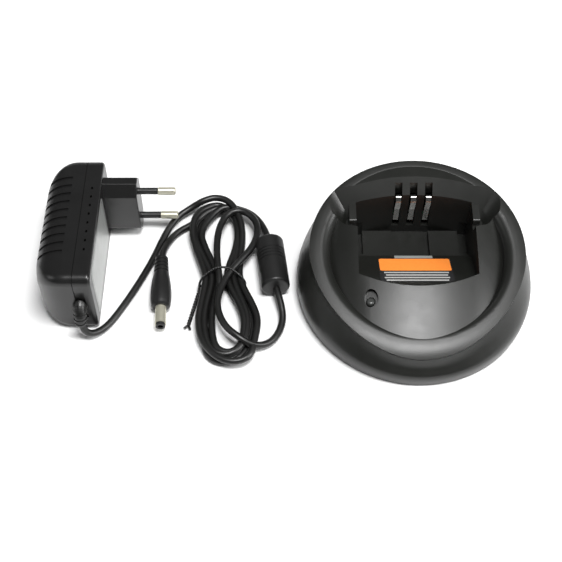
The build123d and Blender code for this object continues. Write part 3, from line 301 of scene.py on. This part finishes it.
# ------------------------------------------------------------------ materials
class Nodes:
    """A small helper that builds one procedural material."""

    def __init__(self, name, colour, roughness, **sockets):
        self.material = bpy.data.materials.new(name)
        self.material.use_nodes = True
        self.tree = self.material.node_tree
        self.shader = self.tree.nodes["Principled BSDF"]
        self.shader.inputs["Base Color"].default_value = (*colour, 1)
        self.shader.inputs["Roughness"].default_value = roughness
        for socket, value in sockets.items():
            self.shader.inputs[socket.replace("_", " ")].default_value = value
        self.colour = colour
        self.roughness = roughness
        self.place = self.tree.nodes.new("ShaderNodeTexCoord").outputs["Object"]

    def add(self, kind, **inputs):
        node = self.tree.nodes.new(kind)
        for socket, value in inputs.items():
            socket = socket.replace("_", " ")
            if hasattr(value, "is_output"):
                self.tree.links.new(value, node.inputs[socket])
            else:
                node.inputs[socket].default_value = value
        return node

    def noise(self, scale, detail=3.0, rough=0.55):
        node = self.add(
            "ShaderNodeTexNoise", Vector=self.place, Scale=scale, Detail=detail, Roughness=rough
        )
        return node.outputs["Fac"]

    def remap(self, value, low, high, a=0.0, b=1.0):
        node = self.tree.nodes.new("ShaderNodeMapRange")
        self.tree.links.new(value, node.inputs["Value"])
        node.inputs["From Min"].default_value = a
        node.inputs["From Max"].default_value = b
        node.inputs["To Min"].default_value = low
        node.inputs["To Max"].default_value = high
        return node.outputs["Result"]

    def mix(self, factor, a, b):
        node = self.tree.nodes.new("ShaderNodeMix")
        node.data_type = "RGBA"
        self.link(factor, node.inputs[0])
        self.link(a, node.inputs[6])
        self.link(b, node.inputs[7])
        return node.outputs[2]

    def maths(self, kind, a, b=0.0, c=None):
        node = self.tree.nodes.new("ShaderNodeMath")
        node.operation = kind
        self.link(a, node.inputs[0])
        self.link(b, node.inputs[1])
        if c is not None:
            self.link(c, node.inputs[2])
        return node.outputs[0]

    def link(self, value, socket):
        if hasattr(value, "is_output"):
            self.tree.links.new(value, socket)
        elif isinstance(value, tuple) and len(value) == 3:
            socket.default_value = (*value, 1)
        else:
            socket.default_value = value

    def bump(self, height, distance, strength=1.0):
        node = self.add("ShaderNodeBump", Height=height, Distance=distance, Strength=strength)
        old = self.shader.inputs["Normal"]
        if old.is_linked:
            self.tree.links.new(old.links[0].from_socket, node.inputs["Normal"])
        self.tree.links.new(node.outputs[0], old)

    def paint(self, value):
        self.tree.links.new(value, self.shader.inputs["Base Color"])

    def dull(self, value):
        self.tree.links.new(value, self.shader.inputs["Roughness"])


def moulded(name, colour, roughness, grain=2600.0, depth=0.03, uneven=0.1, **sockets):
    """Moulded plastic: a fine grain, a slow change of tone and of gloss."""
    m = Nodes(name, colour, roughness, **sockets)
    cloud = m.noise(55.0, 4.0)
    darker = tuple(c * (1 - uneven) for c in colour)
    lighter = tuple(c * (1 + uneven) for c in colour)
    m.paint(m.mix(m.remap(cloud, 0.0, 1.0, 0.3, 0.7), darker, lighter))
    m.dull(m.remap(m.noise(140.0, 3.0), roughness - 0.02, roughness + 0.02, 0.3, 0.7))
    m.bump(m.noise(grain, 2.0, 0.6), depth * MM)
    return m


def cradle_material():
    m = moulded("cradle_plastic", (0.0090, 0.0095, 0.0082), 0.37, grain=1900.0, depth=0.03, uneven=0.12)
    return m.material


def metal(name, colour, roughness, brushed=900.0, depth=0.001, metallic=1.0):
    m = Nodes(name, colour, roughness, Metallic=metallic)
    m.dull(m.remap(m.noise(brushed, 2.0), roughness - 0.06, roughness + 0.08, 0.3, 0.7))
    m.paint(m.mix(m.noise(300.0, 3.0), tuple(c * 0.9 for c in colour), colour))
    m.bump(m.noise(brushed, 2.0), depth * MM)
    return m.material


def wound(name, colour):
    m = Nodes(name, colour, 0.5)
    lines = m.add("ShaderNodeTexWave", Vector=m.place, Scale=500.0, Distortion=0.4)
    m.paint(m.mix(lines.outputs["Fac"], tuple(c * 0.7 for c in colour), colour))
    m.bump(lines.outputs["Fac"], 0.05 * MM)
    return m.material


def board():
    m = Nodes("circuit_board", (0.02, 0.11, 0.045), 0.35)
    traces = m.add("ShaderNodeTexVoronoi", Vector=m.place, Scale=420.0)
    lacquer = m.remap(traces.outputs["Distance"], 0.0, 1.0, 0.25, 0.5)
    m.paint(m.mix(lacquer, (0.02, 0.11, 0.045), (0.05, 0.2, 0.09)))
    m.bump(traces.outputs["Distance"], 0.02 * MM)
    return m.material


def pocket_print():
    """A dark plate with an orange band across its top and four rows of plain pale bars."""
    m = Nodes("pocket_print", (0.02, 0.02, 0.02), 0.4)
    low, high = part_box("pocket_label")
    split = m.add("ShaderNodeSeparateXYZ", Vector=m.place)
    u = m.remap(split.outputs["X"], 0.0, 1.0, low[0], high[0])
    v = m.remap(split.outputs["Y"], 0.0, 1.0, low[1], high[1])

    def inside(value, a, b):
        return m.maths("MULTIPLY", m.maths("GREATER_THAN", value, a), m.maths("LESS_THAN", value, b))

    def rounded(low_u, high_u, low_v, high_v, radius):
        """One inside a plate with rounded corners, nought outside it."""
        wide, tall = high[0] - low[0], high[1] - low[1]
        du = m.maths("ABSOLUTE", m.maths("SUBTRACT", u, (low_u + high_u) / 2))
        dv = m.maths("ABSOLUTE", m.maths("SUBTRACT", v, (low_v + high_v) / 2))
        du = m.maths("MULTIPLY", m.maths("SUBTRACT", du, (high_u - low_u) / 2), wide)
        dv = m.maths("MULTIPLY", m.maths("SUBTRACT", dv, (high_v - low_v) / 2), tall)
        du = m.maths("MAXIMUM", m.maths("ADD", du, radius), 0.0)
        dv = m.maths("MAXIMUM", m.maths("ADD", dv, radius), 0.0)
        far = m.maths("SQRT", m.maths("ADD", m.maths("POWER", du, 2.0), m.maths("POWER", dv, 2.0)))
        return m.maths("LESS_THAN", far, radius)

    band = rounded(0.012, 0.988, 0.47, 0.985, 0.9 * MM)
    rows = 0.0
    for row in range(4):
        top = 0.415 - 0.108 * row
        trim = 0.06 + 0.02 * (row % 2)
        strip = m.maths("MULTIPLY", inside(v, top - 0.052, top), inside(u, trim, 1 - trim))
        rows = m.maths("MAXIMUM", rows, strip)
    fleck = m.noise(900.0)
    dark = m.mix(fleck, (0.014, 0.014, 0.015), (0.022, 0.022, 0.023))
    orange = m.mix(fleck, (0.85, 0.235, 0.035), (0.95, 0.29, 0.05))
    colour = m.mix(rows, dark, (0.42, 0.42, 0.41))
    colour = m.mix(band, colour, orange)
    m.paint(colour)
    m.bump(m.noise(1500.0), 0.006 * MM)
    return m.material


LINE_OUTER, LINE_INNER = 1.1, 1.6     # how far the label's border line lies inside its edge


def face_label():
    """A blank silver-grey label with a thin dark line just inside its edge."""
    m = Nodes("face_label", (0.36, 0.37, 0.36), 0.34, Metallic=0.35)
    low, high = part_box("adapter_label")
    split = m.add("ShaderNodeSeparateXYZ", Vector=m.place)
    edge = []
    for axis, name in ((1, "Y"), (2, "Z")):
        middle, half = (low[axis] + high[axis]) / 2, (high[axis] - low[axis]) / 2
        away = m.maths("ABSOLUTE", m.maths("SUBTRACT", split.outputs[name], middle))
        edge.append(m.maths("SUBTRACT", half, away))
    depth = m.maths("MINIMUM", edge[0], edge[1])
    past_outer = m.maths("GREATER_THAN", depth, LINE_OUTER * MM)
    before_inner = m.maths("LESS_THAN", depth, LINE_INNER * MM)
    line = m.maths("MULTIPLY", past_outer, before_inner)
    silver = m.mix(m.noise(300.0), (0.33, 0.34, 0.33), (0.39, 0.40, 0.39))
    m.paint(m.mix(line, silver, (0.03, 0.03, 0.03)))
    m.dull(m.remap(m.noise(120.0), 0.31, 0.37, 0.3, 0.7))
    m.bump(m.noise(900.0), 0.003 * MM)
    return m.material


def clear_lens():
    m = Nodes("lamp_lens", (0.04, 0.04, 0.04), 0.3)
    m.paint(m.mix(m.noise(400.0), (0.03, 0.032, 0.03), (0.06, 0.062, 0.06)))
    m.shader.inputs["Coat Weight"].default_value = 0.4
    return m.material


def twisted_tie():
    m = Nodes("twist_tie", (0.01, 0.01, 0.01), 0.32)
    twist = m.add("ShaderNodeTexWave", Vector=m.place, Scale=260.0, Distortion=0.6)
    m.paint(m.mix(twist.outputs["Fac"], (0.006, 0.006, 0.006), (0.014, 0.014, 0.014)))
    m.bump(twist.outputs["Fac"], 0.12 * MM)
    return m.material


adapter_black = moulded("adapter_plastic", (0.0085, 0.0085, 0.0085), 0.3, grain=900.0, depth=0.004).material
cord_black = moulded("cord_jacket", (0.0065, 0.0065, 0.0062), 0.38, grain=1100.0, depth=0.02).material
plug_black = moulded("plug_mould", (0.0095, 0.0095, 0.0095), 0.4, grain=1700.0, depth=0.02).material
ferrite_black = moulded("ferrite_case", (0.010, 0.010, 0.010), 0.42, grain=1800.0, depth=0.03).material
inner_black = moulded("inner_plastic", (0.012, 0.012, 0.012), 0.5).material
label_silver = face_label()
finishes = {
    "cradle_charcoal": cradle_material(),
    "foot_rubber": moulded("foot_rubber", (0.012, 0.012, 0.012), 0.8).material,
    "screw_steel": metal("screw_steel", (0.55, 0.55, 0.56), 0.3),
    "contact_metal": metal("contact_plating", (0.46, 0.46, 0.44), 0.24, brushed=400.0),
    "inner_black": inner_black,
    "lens_clear": clear_lens(),
    "pocket_print": pocket_print(),
    "pocket_strip_grey": moulded("pocket_strip", (0.24, 0.25, 0.24), 0.5).material,
    "board_green": board(),
    "ferrite_grey": moulded("ferrite_ceramic", (0.03, 0.03, 0.032), 0.6).material,
    "can_grey": metal("capacitor_can", (0.30, 0.32, 0.36), 0.35),
    "plug_white": moulded("connector_white", (0.7, 0.68, 0.62), 0.45).material,
    "wire_red": moulded("wire_red", (0.35, 0.03, 0.02), 0.4).material,
    "adapter_black": adapter_black,
    "label_silver": label_silver,
    "pin_nickel": metal("pin_plating", (0.66, 0.64, 0.52), 0.34, metallic=0.7),
    "sleeve_black": plug_black,
    "winding_copper": wound("winding_tape", (0.55, 0.33, 0.05)),
    "cord_black": cord_black,
    "tie_black": twisted_tie(),
    "ferrite_black": ferrite_black,
    "plug_black": plug_black,
}
slot_of = {s["node"]: s["material_slot"] for s in frame["record"]["subparts"]}
for name, obj in nodes.items():
    obj.data.materials.clear()
    obj.data.materials.append(finishes[slot_of[name]])
lead.data.materials.append(cord_black)
tie.data.materials.append(finishes["tie_black"])

# ------------------------------------------------------------------ floor and light
floor_mesh = bpy.data.meshes.new("floor")
floor_mesh.from_pydata([(-4, -4, 0), (4, -4, 0), (4, 4, 0), (-4, 4, 0)], [], [(0, 1, 2, 3)])
floor = bpy.data.objects.new("floor", floor_mesh)
scene.collection.objects.link(floor)
floor_paint = Nodes("floor_paint", (0.93, 0.93, 0.93), 0.9)
floor_paint.paint(floor_paint.mix(floor_paint.noise(3.0), (0.92, 0.92, 0.92), (0.94, 0.94, 0.94)))
floor_mesh.materials.append(floor_paint.material)


def softbox(name, place, target, size, power):
    data = bpy.data.lights.new(name, "AREA")
    data.shape = "RECTANGLE"
    data.size, data.size_y = size
    data.energy = power
    lamp = bpy.data.objects.new(name, data)
    scene.collection.objects.link(lamp)
    lamp.location = place
    aim(lamp, target)
    return lamp


softbox("overhead", (0.15, -0.20, 1.2), (0.03, 0, 0), (0.50, 0.38), 17)
softbox("left", (-1.25, -0.25, 0.75), (0, 0, 0), (0.5, 0.7), 2.0)
softbox("right", (1.2, -0.25, 0.8), (0, 0, 0), (0.4, 0.8), 14)
softbox("back", (-0.35, 1.3, 0.5), (0, 0, 0), (0.9, 0.3), 1.2)

# the studio is white to the camera and much dimmer to everything that mirrors it
world = bpy.data.worlds.new("world")
world.use_nodes = True
sky = world.node_tree.nodes["Background"]
sky.inputs["Color"].default_value = (1, 1, 1, 1)
rays = world.node_tree.nodes.new("ShaderNodeLightPath")
level = world.node_tree.nodes.new("ShaderNodeMapRange")
level.inputs["To Min"].default_value = 0.1
level.inputs["To Max"].default_value = 1.0
world.node_tree.links.new(rays.outputs["Is Camera Ray"], level.inputs["Value"])
world.node_tree.links.new(level.outputs["Result"], sky.inputs["Strength"])
scene.world = world
scene.view_settings.view_transform = "Standard"
